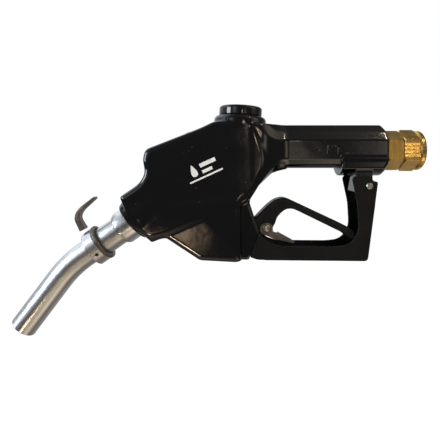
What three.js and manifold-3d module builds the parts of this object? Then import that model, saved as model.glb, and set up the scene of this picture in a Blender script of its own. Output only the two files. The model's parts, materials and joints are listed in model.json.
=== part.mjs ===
// Automatic fuel nozzle with a lever guard, hose swivel and bent spout.
// Millimetres. Origin: centre of the swivel's hose end. +X out of the hose end, +Z up.
import * as THREE from 'three';
import { mergeVertices } from 'three/addons/utils/BufferGeometryUtils.js';
import Module from 'manifold-3d';

const wasm = await Module();
wasm.setup();

// ---- driving dimensions -------------------------------------------------
const GAP = 0.3;                       // clearance between touching pieces
const RAD = Math.PI / 180;

const SPOUT_ANGLE = 35 * RAD;          // slope of the upper spout
const SPOUT_BEND = 18 * RAD;           // how much further the lower spout drops
const SPOUT_BEND_RADIUS = 135;
const SPOUT_TO_VERTEX = 86;            // mouth to the vertex of the bend
const VERTEX_TO_TIP = 92;
const SPOUT_R = 15.1;                  // outside of the lower spout
const SPOUT_SLEEVE_R = 16.4;           // outside of the thicker upper part
const SPOUT_BORE_R = 13.3;
const MOUTH = [-338.4, -84.4];         // centre of the body's mouth, X and Z
const COLLAR_R = 20;                   // visible part of the collar
const COLLAR_IN_R = 18;                // its threaded part inside the body
const COLLAR_OUT = 15;

const STEM_TILT = 3 * RAD;             // the valve stem leans this far
const STEM_X = -211.76;                // where the stem axis crosses Z = 0
const CAP_R = 25;
const CAP_TOP = 51.2;
const BOSS_TOP = 39.8;
const SEAT_LEVEL = -19;
const STEM_TIP = -100.1;

const FULCRUM = [-229, -112];          // lever pivot, X and Z
const LATCH_DIR = [-0.39, 0.9208];     // latch axis, upwards
const DIAPHRAGM_R = 21.5;

const LEVER_HALF = 10.7;
const SKIRT_HALF = 18.5;
const SLOT_HALF = 15;
const GUARD_HALF = 22;
const GUARD_SHEET = 2.7;

const HANDLE_HALF = 20.5;
const INLET_R = 29.4;
const INLET_FACE = -42.6;
const HEX_FLATS = 41.8;

// ---- materials ----------------------------------------------------------
const paint = (color, roughness, metalness) => (
  new THREE.MeshStandardMaterial({ color, roughness, metalness })
);
const glossBlack = paint(0x15161a, 0.22, 0.1);
const matteBlack = paint(0x1b1b1d, 0.7, 0.0);
const leverBlack = paint(0x1f1f22, 0.6, 0.0);
const aluminium = paint(0xc9ccd0, 0.32, 1.0);
const steel = paint(0xa9abb0, 0.35, 1.0);
const springSteel = paint(0x8a8d92, 0.3, 1.0);
const zinc = paint(0xc4c2b8, 0.35, 1.0);
const brass = paint(0xc39a45, 0.3, 1.0);
const plate = paint(0x9a8d78, 0.45, 0.9);
const rubber = paint(0x17181a, 0.85, 0.0);
const plastic = paint(0xd8d9d4, 0.5, 0.0);

// ---- helpers ------------------------------------------------------------
function toSolid(geometry) {
  const bare = geometry.index ? geometry.toNonIndexed() : geometry.clone();
  bare.deleteAttribute('normal');
  bare.deleteAttribute('uv');
  const merged = mergeVertices(bare, 1e-4);
  return new wasm.Manifold(new wasm.Mesh({
    numProp: 3,
    vertProperties: new Float32Array(merged.attributes.position.array),
    triVerts: new Uint32Array(merged.index.array),
  }));
}

function toGeometry(solid) {
  const mesh = solid.getMesh();
  const geometry = new THREE.BufferGeometry();
  geometry.setAttribute('position', new THREE.BufferAttribute(mesh.vertProperties, 3));
  geometry.setIndex(new THREE.BufferAttribute(mesh.triVerts, 1));
  geometry.computeVertexNormals();
  return geometry;
}

function join(...solids) {
  return solids.reduce((sum, next) => sum.add(next));
}

function cut(solid, ...tools) {
  return tools.reduce((left, tool) => left.subtract(tool), solid);
}

// A point is [x, z] or [x, z, r], where r rounds the corner.
function outline(points) {
  const shape = new THREE.Shape();
  const count = points.length;
  points.forEach((point, i) => {
    const here = new THREE.Vector2(point[0], point[1]);
    const r = point[2] || 0;
    if (r === 0) {
      if (i === 0) shape.moveTo(here.x, here.y);
      else shape.lineTo(here.x, here.y);
      return;
    }
    const before = points[(i + count - 1) % count];
    const after = points[(i + 1) % count];
    const a = new THREE.Vector2(before[0], before[1]).sub(here).setLength(r).add(here);
    const b = new THREE.Vector2(after[0], after[1]).sub(here).setLength(r).add(here);
    if (i === 0) shape.moveTo(a.x, a.y);
    else shape.lineTo(a.x, a.y);
    shape.quadraticCurveTo(here.x, here.y, b.x, b.y);
  });
  shape.closePath();
  return shape;
}

// Extrudes an X-Z outline between two Y values.
function slab(points, yLow, yHigh, bevel = 0, segments = 2) {
  const geometry = new THREE.ExtrudeGeometry(outline(points), {
    depth: yHigh - yLow - 2 * bevel,
    curveSegments: 3,
    bevelEnabled: bevel > 0,
    bevelThickness: bevel,
    bevelSize: bevel,
    bevelOffset: -bevel,
    bevelSegments: segments,
  });
  geometry.translate(0, 0, bevel);
  geometry.rotateX(Math.PI / 2);
  geometry.translate(0, yHigh, 0);
  return toSolid(geometry);
}

// Revolves a closed [radius, height] profile about an axis through a point.
function turned(profile, at, direction, segments = 26) {
  const ring = profile.map(([r, h]) => new THREE.Vector2(r, h));
  ring.push(ring[0].clone());
  const geometry = new THREE.LatheGeometry(ring, segments);
  const turn = new THREE.Quaternion().setFromUnitVectors(
    new THREE.Vector3(0, 1, 0),
    new THREE.Vector3(...direction).normalize(),
  );
  geometry.applyQuaternion(turn);
  geometry.translate(...at);
  const solid = toSolid(geometry);
  if (solid.volume() > 0) return solid;
  const index = geometry.index.array;
  for (let i = 0; i < index.length; i += 3) {
    const keep = index[i];
    index[i] = index[i + 1];
    index[i + 1] = keep;
  }
  return toSolid(geometry);
}

function drum(radius, low, high, at, direction, segments = 26) {
  const geometry = new THREE.CylinderGeometry(radius, radius, high - low, segments);
  geometry.translate(0, (low + high) / 2, 0);
  const turn = new THREE.Quaternion().setFromUnitVectors(
    new THREE.Vector3(0, 1, 0),
    new THREE.Vector3(...direction).normalize(),
  );
  geometry.applyQuaternion(turn);
  geometry.translate(...at);
  return toSolid(geometry);
}

function block(xLow, xHigh, yLow, yHigh, zLow, zHigh) {
  const geometry = new THREE.BoxGeometry(xHigh - xLow, yHigh - yLow, zHigh - zLow);
  geometry.translate((xLow + xHigh) / 2, (yLow + yHigh) / 2, (zLow + zHigh) / 2);
  return toSolid(geometry);
}

// A coil spring along an axis, between two heights.
class Helix extends THREE.Curve {
  constructor(radius, low, high, turns) {
    super();
    this.radius = radius;
    this.low = low;
    this.high = high;
    this.turns = turns;
  }

  getPoint(t) {
    const angle = t * this.turns * 2 * Math.PI;
    return new THREE.Vector3(
      this.radius * Math.cos(angle),
      this.low + (this.high - this.low) * t,
      this.radius * Math.sin(angle),
    );
  }
}

function disc(radius, sides) {
  const shape = new THREE.Shape();
  for (let i = 0; i < sides; i += 1) {
    const angle = (i / sides) * 2 * Math.PI;
    const x = radius * Math.cos(angle);
    const y = radius * Math.sin(angle);
    if (i === 0) shape.moveTo(x, y);
    else shape.lineTo(x, y);
  }
  shape.closePath();
  return shape;
}

function coil(radius, wire, low, high, turns, at, direction) {
  const path = new Helix(radius, low + wire, high - wire, turns);
  const geometry = new THREE.ExtrudeGeometry(disc(wire, 5), {
    steps: Math.round(turns * 11),
    extrudePath: path,
    bevelEnabled: false,
  });
  const turn = new THREE.Quaternion().setFromUnitVectors(
    new THREE.Vector3(0, 1, 0),
    new THREE.Vector3(...direction).normalize(),
  );
  geometry.applyQuaternion(turn);
  geometry.translate(...at);
  return toSolid(geometry);
}

const group = new THREE.Group();
group.name = 'fuel_nozzle';

function place(name, solid, material) {
  const mesh = new THREE.Mesh(toGeometry(solid), material);
  mesh.name = name;
  group.add(mesh);
}

// ---- axes ---------------------------------------------------------------
const stemAt = [STEM_X, 0, 0];
const stemDir = [Math.sin(STEM_TILT), 0, Math.cos(STEM_TILT)];
const spoutAt = [MOUTH[0], 0, MOUTH[1]];
const inward = [Math.cos(SPOUT_ANGLE), 0, Math.sin(SPOUT_ANGLE)];
const latchAt = [FULCRUM[0], 0, FULCRUM[1]];
const latchDir = [LATCH_DIR[0], 0, LATCH_DIR[1]];
const centre = [0, 0, 0];
const alongX = [1, 0, 0];
const alongY = [0, 1, 0];

function onSpout(s, off = 0) {
  return [
    MOUTH[0] + s * inward[0] - off * inward[2],
    0,
    MOUTH[1] + s * inward[2] + off * inward[0],
  ];
}

function onLatch(t, side = 0) {
  return [
    FULCRUM[0] + t * LATCH_DIR[0] + side * LATCH_DIR[1],
    0,
    FULCRUM[1] + t * LATCH_DIR[1] - side * LATCH_DIR[0],
  ];
}

// Extrudes a Y-Z outline between two X values.
function barX(points, xLow, xHigh) {
  const shape = new THREE.Shape();
  points.forEach(([y, z], i) => (i === 0 ? shape.moveTo(y, z) : shape.lineTo(y, z)));
  shape.closePath();
  const geometry = new THREE.ExtrudeGeometry(shape, { depth: xHigh - xLow, bevelEnabled: false });
  geometry.rotateX(Math.PI / 2);
  geometry.rotateZ(Math.PI / 2);
  geometry.translate(xLow, 0, 0);
  return toSolid(geometry);
}

// ---- body ---------------------------------------------------------------
function handleRod(xLow, xHigh) {
  const half = [[0, 30], [9, 29.4], [16.2, 21], [HANDLE_HALF, 11.5], [HANDLE_HALF, -10.2],
    [17, -16.5], [10, -20.8], [0, -21.5]];
  const other = half.slice(1, -1).reverse().map(([y, z]) => [-y, z]);
  return barX([...half, ...other], xLow, xHigh);
}

function bodyCasting() {
  const barrel = slab([[-206, 37], [-240, 35], [-254.6, 24.7], [-316, 0.4], [-319.5, -11],
    [-317, -26], [-325, -39], [-343, -52], [-331, -88], [-315, -97], [-240, -66],
    [-203, -56], [-193, -38], [-178, -8], [-184, 14]], -31, 31, 7, 3);
  const neck = turned([[0, 0], [21.5, 0], [28.6, 8.5], [28.6, 46], [0, 46]], spoutAt, inward, 36);
  const shoulder = slab([[-230, 30], [-186, 33], [-178, 21], [-166, 13], [-161, 4],
    [-163, -10], [-176, -24], [-184, -34.7], [-191, -41.7], [-200.6, -55.8], [-240, -60]],
  -26, 26, 4, 2);
  const tier = turned([[0, 10], [30.5, 10], [30.5, 33], [28.8, 38.4], [27, BOSS_TOP], [0, BOSS_TOP]],
    stemAt, stemDir, 40);
  const fillet = slab([[-195, 25], [-183.5, 40], [-180, 36.7], [-176, 31.5], [-168, 29.6],
    [-168, 10], [-195, 10]], -15, 15);
  const skirtFront = slab([[-325, -78], [-317.5, -100], [-310.6, -105], [-294, -99.8],
    [-255.8, -124.6], [-215, -126.2], [-209, -124.4], [-209, -50], [-300, -60]], -26.5, 26.5, 2.5, 2);
  const skirtRear = slab([[-225, -50], [-225, -124.8], [-200.2, -124.8], [-199, -121], [-183, -121], [-183, -111],
    [-190.5, -105], [-187.6, -95.8], [-192.9, -80], [-200.6, -55.8], [-197, -48]],
  -SKIRT_HALF, SKIRT_HALF);
  const underside = slab([[-205, -20], [-200.6, -55.8], [-191, -41.7], [-184, -34.7],
    [-174.7, -25.3], [-160.6, -21.3], [-160.6, -10]], -17, 17);
  const handle = handleRod(-175, -56);
  const endTaper = turned([[0, -58], [31, -58], [31, -49.2], [24.4, INLET_FACE], [0, INLET_FACE]],
    centre, alongX, 40);
  const handleEnd = handleRod(-57, INLET_FACE).intersect(endTaper);
  const inletBoss = turned([[0, -101], [22, -101], [26, -96], [INLET_R, -90], [INLET_R, -48],
    [24.4, INLET_FACE], [0, INLET_FACE]], centre, alongX, 40)
    .intersect(block(-110, -30, -HANDLE_HALF, HANDLE_HALF, -40, 4));
  const lug = slab([[-80.5, -20], [-79, -46], [-74, -48], [-65, -48], [-60.5, -44], [-59, -20]],
    -18.9, 18.9);
  let body = join(barrel, neck, shoulder, tier, fillet, skirtFront, skirtRear, underside,
    handle, handleEnd, inletBoss, lug);

  // flow passages
  const inletBore = turned([[0, -72], [15, -72], [15, -64], [17, -64], [17, -38], [0, -38]],
    centre, alongX, 28);
  const bore = [[0, 25.2], [7.5, 24.6], [12.4, 17.8], [15.6, 10], [15.6, -8.5], [13, -13.2],
    [8, -16], [0, -16.3]];
  const handleBore = barX([...bore, ...bore.slice(1, -1).reverse().map(([y, z]) => [-y, z])],
    -205, -70);
  const chamber = drum(18.5, SEAT_LEVEL - GAP, 60, stemAt, stemDir, 28);
  const underSeat = drum(12.8, -38, SEAT_LEVEL, stemAt, stemDir, 20);
  const crossing = slab([[-214, -24], [-238, -25.5], [-250, -16], [-264, -11.5], [-288, -22],
    [-306, -33], [-303.5, -43.5], [-285.5, -70], [-262, -67], [-248, -62], [-236, -55],
    [-230, -40], [-214, -38]], -24.5, 24.5);
  const spoutBore = turned([[0, -2], [COLLAR_R + GAP, -2], [COLLAR_R + GAP, 4],
    [COLLAR_IN_R + GAP, 4], [COLLAR_IN_R + GAP, 25.4], [15, 25.4],
    [15, 58], [0, 58]], spoutAt, inward, 28);
  const glandBore = turned([[0, -100], [3.7, -100], [3.7, -56], [6.4, -56], [6.4, -37], [0, -37]],
    stemAt, stemDir, 16);
  body = cut(body, inletBore, handleBore, chamber, underSeat, crossing, spoutBore, glandBore);

  // latch column that crosses the flow
  body = join(body, drum(11.5, 50, 112, latchAt, latchDir, 20));
  const latchBore = turned([[0, 10], [5.4, 10], [5.4, 40], [7.8, 40], [7.8, 116], [15, 118],
    [15, 126], [DIAPHRAGM_R + 0.4, 126], [DIAPHRAGM_R + 0.4, 150], [0, 150]],
  latchAt, latchDir, 28);

  // lever slot, open below and behind
  const slot = slab([[-174, -26], [-181, -34], [-199.5, -42], [-203.8, -50], [-203.8, -62],
    [-209, -72], [-213, -84], [-243, -96], [-248, -112], [-248, -140], [-170, -140],
    [-170, -26]], -SLOT_HALF, SLOT_HALF);
  const frontPinHole = drum(2.3, -30, 30, [-186.6, 0, -115.6], alongY, 20);
  const guardScrewHole = drum(2.8, -30, 30, [-65.1, 0, -40.7], alongY, 20);
  const lockScrewHole = drum(3.3, -40, -17, onSpout(9), [-inward[2], 0, inward[0]], 20);
  return cut(body, latchBore, slot, frontPinHole, guardScrewHole, lockScrewHole);
}

// ---- main valve ---------------------------------------------------------
function mainValve() {
  place('poppet_cap', turned([[0, 46.2], [12, 46.2], [12, 33.5], [18.1, 33.5], [18.1, 36.4],
    [16.5, 36.4], [16.5, 38.9], [18.1, 38.9], [18.1, BOSS_TOP + GAP], [CAP_R, BOSS_TOP + GAP],
    [CAP_R, 47.4], [23.9, 50], [21.4, CAP_TOP], [0, CAP_TOP]], stemAt, stemDir, 32), glossBlack);
  place('cap_oring', turned([[16.8, 37.65], [17.1, 36.9], [17.6, 36.65], [18.1, 36.9],
    [18.3, 37.65], [18.1, 38.4], [17.6, 38.65], [17.1, 38.4]], stemAt, stemDir, 24), rubber);
  place('poppet_spring', coil(9.4, 0.9, -8.6, 45.8, 6, stemAt, stemDir), springSteel);
  place('valve_seat', turned([[12.6, SEAT_LEVEL], [18.2, SEAT_LEVEL], [18.2, -16.2], [14, -16.2],
    [13.2, -15.6], [12.6, -15.6]], stemAt, stemDir), brass);
  place('main_poppet', turned([[0, -5.6], [3.3, -5.6], [3.3, -20.5], [6.3, -20.5], [8.2, -15.2],
    [8.8, -15.2], [8.8, -12.8], [15, -12.8], [15.6, -12], [15.6, -9.6], [7.6, -8.9], [6.6, -2],
    [5.4, 3.6], [0, 3.6]], stemAt, stemDir), brass);
  place('poppet_seal', turned([[9.1, -15.3], [15.4, -15.3], [15.4, -13.1], [9.1, -13.1]],
    stemAt, stemDir), rubber);
  place('poppet_stem', turned([[0, -5.9], [3, -5.9], [3, -98.2], [1.8, STEM_TIP], [0, STEM_TIP]],
    stemAt, stemDir, 20), steel);
  place('stem_packing', turned([[3.3, -55.7], [6.1, -55.7], [6.1, -52.9], [3.3, -52.9]],
    stemAt, stemDir, 24), rubber);
  place('stem_gland', turned([[3.35, -52.6], [6.1, -52.6], [6.1, -38.3], [3.35, -38.3]],
    stemAt, stemDir, 24), brass);
}

// ---- automatic shut-off -------------------------------------------------
function shutOff() {
  const cover = turned([[0, 133.6], [16, 133.6], [16, 128.4], [DIAPHRAGM_R, 128.4],
    [DIAPHRAGM_R, 135.4], [20.6, 136.2], [0, 136.2]], latchAt, latchDir, 28);
  const screwHoles = [45, 135, 225, 315].map((deg) => {
    const side = 18.8 * Math.cos(deg * RAD);
    const y = 18.8 * Math.sin(deg * RAD);
    const at = onLatch(0, side);
    return { at: [at[0], y, at[2]], tool: drum(1.5, 120, 150, [at[0], y, at[2]], latchDir, 12) };
  });
  place('diaphragm_cover', cut(cover, ...screwHoles.map((hole) => hole.tool)), glossBlack);
  screwHoles.forEach((hole, i) => {
    place(`cover_screw_${i + 1}`, turned([[0, 129], [1.2, 129], [1.2, 136.5], [2.9, 136.5],
      [2.6, 137.6], [0, 138]], hole.at, latchDir, 14), zinc);
  });
  place('diaphragm', turned([[3.4, 126.3], [9, 126.3], [11.5, 124.6], [14, 126.3],
    [DIAPHRAGM_R, 126.3], [DIAPHRAGM_R, 128.1], [13.6, 128.1], [11.5, 126.4], [9.4, 128.1],
    [3.4, 128.1]], latchAt, latchDir), rubber);
  place('latch_pin', turned([[0, 88], [2.2, 88], [3.1, 90], [3.1, 123.9], [8.4, 123.9],
    [8.4, 126], [3.1, 126], [3.1, 129.4], [0, 129.4]], latchAt, latchDir, 18), steel);
  place('diaphragm_spring', coil(6.2, 0.45, 128.4, 133.3, 2.5, latchAt, latchDir), springSteel);

  const tongue = slab([[-6, -6, 5.8], [6, -6, 5.8], [6, 16], [-6, 16]], -4.6, 4.6);
  const rod = turned([[0, 15], [5, 15], [5, 60], [7.5, 60], [7.5, 114], [3.4, 114], [3.4, 86],
    [0, 86]], centre, [0, 0, 1], 20);
  const windows = [0, 120, 240].map((deg) => (
    drum(2.3, 2.4, 9, [0, 0, 104], [Math.cos(deg * RAD), Math.sin(deg * RAD), 0], 14)
  ));
  const lean = Math.atan2(LATCH_DIR[0], LATCH_DIR[1]) / RAD;
  const fork = cut(join(tongue, rod), drum(3.25, -9, 9, centre, alongY, 20), ...windows)
    .rotate([0, lean, 0])
    .translate(latchAt);
  place('latch_plunger', fork, steel);
  [0, 120, 240].forEach((deg, i) => {
    const ball = new THREE.SphereGeometry(2, 12, 8);
    ball.translate(5.4 * Math.cos(deg * RAD), 5.4 * Math.sin(deg * RAD), 104);
    ball.rotateY(lean * RAD);
    ball.translate(...latchAt);
    place(`latch_ball_${i + 1}`, toSolid(ball), springSteel);
  });
  place('plunger_spring', coil(6.35, 0.6, 40.4, 59.7, 4.5, latchAt, latchDir), springSteel);
}

// ---- check valve and spout ----------------------------------------------
function checkValve() {
  place('check_seat', turned([[9.2, 50], [10.2, 48.6], [14.7, 48.6], [14.7, 53], [9.2, 53]],
    spoutAt, inward), brass);
  place('check_poppet', turned([[0, 20], [2.4, 20], [2.4, 41], [9, 41], [11.6, 44], [11.6, 46.4],
    [8.6, 50.4], [4, 52], [0, 52]], spoutAt, inward, 24), plastic);
  let guide = turned([[12.2, 25.8], [14.7, 25.8], [14.7, 28.6], [12.2, 28.6]], spoutAt, inward);
  guide = join(guide, turned([[2.8, 25.8], [4.8, 25.8], [4.8, 28.6], [2.8, 28.6]],
    spoutAt, inward, 16));
  [0, 120, 240].forEach((deg) => {
    const arm = block(4, 13, -1, 1, 25.9, 28.5).rotate([0, 0, deg])
      .rotate([0, 90 - SPOUT_ANGLE / RAD, 0])
      .translate(spoutAt);
    guide = join(guide, arm);
  });
  place('check_guide', guide, brass);
  place('check_spring', coil(6.2, 0.5, 28.9, 40.8, 4, spoutAt, inward), springSteel);
}

class SpoutLine extends THREE.Curve {
  constructor(start, off) {
    super();
    const half = SPOUT_BEND / 2;
    this.off = off;
    this.radius = SPOUT_BEND_RADIUS;
    this.before = SPOUT_TO_VERTEX - this.radius * Math.tan(half) - start;
    this.arc = this.radius * SPOUT_BEND;
    this.after = VERTEX_TO_TIP - this.radius * Math.tan(half);
    this.start = start;
    this.total = this.before + this.arc + this.after;
  }

  getPoint(t) {
    const travel = t * this.total;
    const out = [-inward[0], -inward[2]];
    const side = [out[1], -out[0]];
    const straight = Math.min(travel, this.before) + this.start;
    let x = MOUTH[0] + out[0] * straight;
    let z = MOUTH[1] + out[1] * straight;
    const swept = Math.min(Math.max(travel - this.before, 0), this.arc) / this.radius;
    const along = this.radius * Math.sin(swept);
    const down = this.radius * (1 - Math.cos(swept));
    const sink = [-side[0], -side[1]];
    x += out[0] * along + sink[0] * down;
    z += out[1] * along + sink[1] * down;
    const rest = Math.max(travel - this.before - this.arc, 0);
    const dir = [
      out[0] * Math.cos(swept) + sink[0] * Math.sin(swept),
      out[1] * Math.cos(swept) + sink[1] * Math.sin(swept),
    ];
    x += dir[0] * rest;
    z += dir[1] * rest;
    return new THREE.Vector3(x - dir[1] * this.off, 0, z + dir[0] * this.off);
  }
}

function pipe(radius, start, off, sides, steps) {
  const geometry = new THREE.ExtrudeGeometry(disc(radius, sides), {
    steps,
    extrudePath: new SpoutLine(start, off),
    bevelEnabled: false,
  });
  return toSolid(geometry);
}

function spout() {
  const sleeve = drum(SPOUT_SLEEVE_R, -42, 22, spoutAt, inward, 32);
  const tube = join(pipe(SPOUT_R, -22, 0, 32, 16), sleeve);
  place('spout_tube', cut(tube, pipe(SPOUT_BORE_R, -26, 0, 24, 16)), aluminium);
  place('spout_collar', turned([[SPOUT_SLEEVE_R + 0.2, -COLLAR_OUT], [COLLAR_R - 1.2, -COLLAR_OUT],
    [COLLAR_R, 1.2 - COLLAR_OUT], [COLLAR_R, 3.7], [COLLAR_IN_R, 3.7], [COLLAR_IN_R, 15],
    [17.1, 15], [17.1, 17.4], [COLLAR_IN_R, 17.4], [COLLAR_IN_R, 25.1], [12.6, 25.1], [12.6, 22.3], [SPOUT_SLEEVE_R + 0.2, 22.3]],
  spoutAt, inward, 32), aluminium);
  place('spout_oring', turned([[17.3, 15.4], [18.1, 15.4], [18.1, 17], [17.3, 17]],
    spoutAt, inward), rubber);
  place('vent_tube', cut(pipe(2.4, -18, 9.2, 10, 12), pipe(1.4, -20, 9.2, 6, 12)), steel);
  place('spout_lock_screw', turned([[0, -18.6], [2.9, -18.6], [2.9, -30.5], [0, -30.5]],
    onSpout(9), [-inward[2], 0, inward[0]], 20), steel);
}

// ---- spout hook ---------------------------------------------------------
const RING_S = -38;                    // ring edge nearest the body, along the spout axis
const RING_LENGTH = 17;
const RING_R = 21.3;

function hook() {
  const low = RING_S - RING_LENGTH;
  const band = turned([[SPOUT_R + 0.25, low], [RING_R - 1, low], [RING_R, low + 1.2],
    [RING_R, RING_S - 1], [RING_R - 1, RING_S], [18.4, RING_S], [18.4, RING_S - 5],
    [SPOUT_SLEEVE_R + 0.25, RING_S - 5], [SPOUT_SLEEVE_R + 0.25, -46.4], [SPOUT_R + 0.25, -46.4]],
  spoutAt, inward, 32);
  const tilt = 24 * RAD;
  const radial = [inward[2] * Math.sin(tilt), -Math.cos(tilt), -inward[0] * Math.sin(tilt)];
  const screwAt = onSpout(RING_S - 10);
  place('hook_ring', cut(band, drum(1.9, 13, 30, screwAt, radial, 16)), steel);
  place('hook_set_screw', turned([[0, 15.4], [0.9, 15.4], [1.6, 16.4], [1.6, 20.2], [0, 20.2]],
    screwAt, radial, 16), steel);
  place('hook_strap', slab([[-380.2, -53.8, 1.2], [-397, -66.7, 3], [-401.6, -73, 3],
    [-402.8, -80.8, 3], [-397.6, -91.2], [-391.8, -88.2], [-397.4, -79.8, 3], [-396.8, -75, 3],
    [-393.6, -70, 3], [-378.8, -56.4, 1.2]], -6, 6), steel);
}

// ---- lever, clip and guard ----------------------------------------------
function lever() {
  const bar = slab([[-236, -119, 5], [-240, -108, 4], [-235, -100.6, 3], [-206, -100.6],
    [-201, -91], [-193.6, -79.2], [-187, -71.9], [-178, -63], [-169.5, -56.6, 3],
    [-160.5, -54.3, 3], [-153.8, -56.2, 2], [-88.6, -86.8, 3], [-80, -92.6, 3],
    [-75.6, -98.6, 3], [-80.6, -105, 4], [-90.4, -96, 2], [-112, -85.4], [-144.6, -69.5],
    [-150, -67.5, 2], [-157, -67.8, 2], [-163, -72.4, 2], [-167.6, -77.6, 2], [-169.3, -84, 2],
    [-176, -95, 3], [-196, -107, 3], [-222, -121.5, 4]], -LEVER_HALF, LEVER_HALF, 1.2, 1);
  const fork = block(-250, -221.6, -5.1, 5.1, -130, -90);
  const pinHole = drum(3.3, -20, 20, latchAt, alongY, 20);
  const rivetHole = drum(3.3, -20, 20, [-180.4, 0, -89.6], alongY, 20);
  place('lever', cut(bar, fork, pinHole, rivetHole), leverBlack);
  place('fulcrum_pin', drum(3, -LEVER_HALF - 1, LEVER_HALF + 1, latchAt, alongY, 20), steel);
}

function clip() {
  const points = [[-172.7, -86.5, 2], [-179.4, -82.7, 3], [-186.3, -85.6, 3], [-188.6, -91.4, 2.8],
    [-185.9, -96.3, 2], [-178.4, -98.8], [-171.9, -101.8], [-149, -107.2, 0.8],
    [-147.4, -105.3, 0.8], [-165.4, -95.1], [-172.7, -93.5, 2]];
  const face = slab(points, -13.1, -11.2);
  const flange = slab([[-166.5, -94.6], [-149.6, -103.8], [-150.5, -105.5], [-167.4, -96.3]],
    -11.3, -1.5);
  const hole = drum(3.2, -20, 0, [-180.4, 0, -89.6], alongY, 20);
  place('hold_open_clip', cut(join(face, flange), hole), plate);
  place('clip_rivet', turned([[0, -14.5], [3.4, -14.5], [4.4, -13.4], [2.9, -13.4], [2.9, 11],
    [4.4, 11], [3.6, 12.4], [0, 12.4]], [-180.4, 0, -89.6], alongY, 22), zinc);
}

function guard() {
  const outer = [[-199.5, -121, 2], [-188.6, -93.2, 2], [-184.6, -98.4, 1], [-177, -104.8, 3],
    [-164.6, -108.7, 3], [-103.8, -109.1, 4], [-87, -107, 6], [-76.4, -92, 6], [-78, -62],
    [-84.3, -32.8, 2], [-81.8, -29.6, 1], [-62, -29.6, 1], [-61, -34.8, 2], [-55, -36.2, 2],
    [-66.9, -125.2, 4], [-190.5, -124, 3]];
  const web = [[-182, -121.2], [-69.7, -122.4, 2], [-61.5, -60],
    [-58.6, -60], [-66.9, -125.2, 4], [-182, -124.08]];
  const near = slab(outer, -GUARD_HALF, -GUARD_HALF + GUARD_SHEET);
  const far = slab(outer, GUARD_HALF - GUARD_SHEET, GUARD_HALF);
  const spine = slab(web, -GUARD_HALF + 1, GUARD_HALF - 1);
  const screwHole = drum(2.8, -30, 30, [-65.1, 0, -40.7], alongY, 20);
  const pinPocket = drum(2.3, -20.6, 20.6, [-186.6, 0, -115.6], alongY, 20);
  const notch = drum(4, -30, 30, [-56.6, 0, -31.2], alongY, 24);
  place('lever_guard', cut(join(near, far, spine), screwHole, pinPocket, notch), matteBlack);
  place('guard_front_pin', drum(2, -20.3, 20.3, [-186.6, 0, -115.6], alongY, 16), steel);
  place('guard_screw', turned([[0, -24.6], [2.6, -24.6], [4, -23.4], [4, -22.3], [2.5, -22.3],
    [2.5, 26.4], [0, 26.4]], [-65.1, 0, -40.7], alongY, 24), zinc);
  const nut = new THREE.CylinderGeometry(4.6, 4.6, 3.2, 6);
  nut.translate(0, 23.9, 0);
  nut.translate(-65.1, 0, -40.7);
  place('guard_nut', cut(toSolid(nut), drum(2.8, 0, 40, [-65.1, 0, -40.7], alongY, 20)), zinc);

  const teeth = [[-172, -120.8], [-172, -114.5], [-166, -114.5]];
  for (let i = 0; i < 4; i += 1) {
    const x = -166 + 9 * i;
    teeth.push([x + 2.5, -118.2], [x + 6.5, -118.2], [x + 9, -114.5]);
  }
  teeth.push([-126, -114.5], [-126, -120.8]);
  place('hold_open_rack', slab(teeth, -6, 6), steel);
}

// ---- hose swivel --------------------------------------------------------
// A hexagonal bar along X with a corner at the bottom.
function hexBar(flats, xLow, xHigh) {
  const corner = flats / 2 / Math.cos(30 * RAD);
  const points = [];
  for (let i = 0; i < 6; i += 1) {
    const angle = (i * 60 + 90) * RAD;
    points.push([corner * Math.cos(angle), corner * Math.sin(angle)]);
  }
  return barX(points, xLow, xHigh);
}

function swivel() {
  const core = turned([[12.4, -62], [16.7, -62], [16.7, -42.3], [18, -42.3], [18, -22.6],
    [16.6, -22.6], [16.6, -20.4], [18, -20.4], [18, -18.8], [16.9, -18.8], [16.9, -17.2],
    [18, -17.2], [18, -15.6], [12.4, -15.6]], centre, alongX, 28);
  const flange = hexBar(40, -42.3, -24.9).intersect(turned([[15, -42.3], [21.6, -42.3],
    [23.4, -40.8], [23.4, -26.4], [21.6, -24.9], [15, -24.9]], centre, alongX, 28));
  place('swivel_adapter', join(core, flange), brass);
  place('swivel_oring', turned([[16.8, -22.4], [18, -22.4], [18, -20.6], [16.8, -20.6]],
    centre, alongX), rubber);
  place('swivel_retainer', turned([[17.1, -18.6], [19.1, -18.6], [19.1, -17.4], [17.1, -17.4]],
    centre, alongX), springSteel);
  const crown = turned([[0, -24.4], [21.8, -24.4], [24.2, -22.6], [24.2, -8.2], [21.8, -6.4],
    [0, -6.4]], centre, alongX, 32);
  const ring = turned([[0, -7], [21.4, -7], [22.9, -5], [22.9, -2], [21.6, 0], [0, 0]],
    centre, alongX, 32);
  const bore = turned([[0, -30], [18.25, -30], [18.25, -18.8], [19.4, -18.8], [19.4, -17.2],
    [18.25, -17.2], [18.25, -15.2], [15.6, -14.4], [15.6, -1.2], [16.8, 1], [0, 1]],
  centre, alongX, 28);
  let hex = hexBar(HEX_FLATS, -24.4, -6.4).intersect(crown);
  for (let i = 0; i < 4; i += 1) {
    const z = 4.1 * (i - 1.5);
    hex = cut(hex, barX([[-22, z - 3.6], [-19.9, z], [-22, z + 3.6]], -30, 0));
  }
  place('swivel_nut', cut(join(hex, ring), bore), brass);
  place('inlet_strainer', turned([[11.2, -62.3], [16.6, -62.3], [16.6, -63.7], [11.9, -63.7],
    [9.8, -96], [0, -97], [0, -96.2], [9.1, -95.3]], centre, alongX, 24), steel);
}

place('body_casting', bodyCasting(), glossBlack);
mainValve();
shutOff();
checkValve();
spout();
hook();
lever();
clip();
guard();
swivel();

export default group;
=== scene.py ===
import json
import math

import bmesh
import bpy
import numpy as np
from mathutils import Matrix, Vector


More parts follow.
